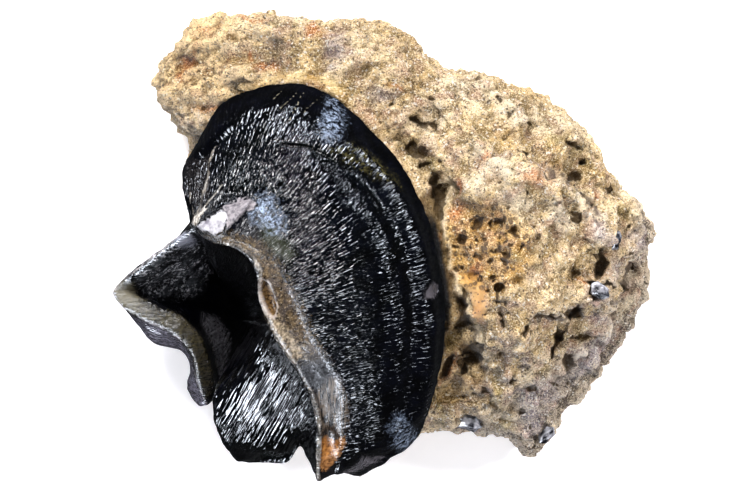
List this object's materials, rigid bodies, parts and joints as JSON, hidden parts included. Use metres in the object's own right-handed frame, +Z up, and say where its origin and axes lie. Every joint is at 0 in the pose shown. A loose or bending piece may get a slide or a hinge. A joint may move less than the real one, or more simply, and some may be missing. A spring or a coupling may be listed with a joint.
{
  "type": "fossil mammal tooth in matrix",
  "caption": "Large crescent-crested cheek tooth with glossy black enamel, set in a loose lump of sandy rock and spongy jaw bone that lies flat.",
  "frame": {"origin": "under the middle of the whole specimen, on the flat underside that it rests on", "axes": "+Z up, away from the resting face; +X from the tooth's inner cusp towards the far end of the rock, the longest way; +Y towards the ridge of rock at the front end of the tooth"},
  "size_m": [0.0664, 0.0566, 0.036],
  "materials": {
    "enamel": "glossy black wrinkled fossil enamel with worn brown crests",
    "sandstone": "rough sandy grain with pores of spongy bone",
    "splinter": "glassy dark splinter of fossil enamel"
  },
  "bodies": {
    "root": {"tooth": "enamel", "matrix": "sandstone", "chip_lower": "splinter", "chip_corner": "splinter", "chip_end": "splinter", "chip_edge": "splinter"}
  },
  "joints": []
}
